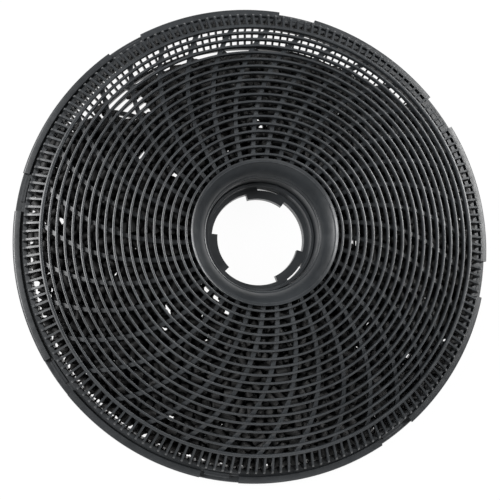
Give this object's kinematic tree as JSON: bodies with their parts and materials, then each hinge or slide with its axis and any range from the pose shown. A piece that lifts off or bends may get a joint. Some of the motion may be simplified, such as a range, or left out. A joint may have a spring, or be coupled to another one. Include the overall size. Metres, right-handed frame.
{
  "type": "cooker hood carbon filter",
  "caption": "Round domed carbon cassette for a cooker hood, with a ring-and-arm grille on both faces, a finned shoulder and a bayonet hub.",
  "frame": {"origin": "middle of the flat rear face, on the cassette's axis", "axes": "+Z along the axis, from the flat rear face towards the domed front face; +Y towards the empty side above the settled carbon"},
  "size_m": [0.233, 0.233, 0.035],
  "materials": {
    "case": "satin",
    "carbon": "matte"
  },
  "bodies": {
    "root": {"front_grille": "case", "rear_grille": "case", "carbon_bed": "carbon"}
  },
  "joints": []
}
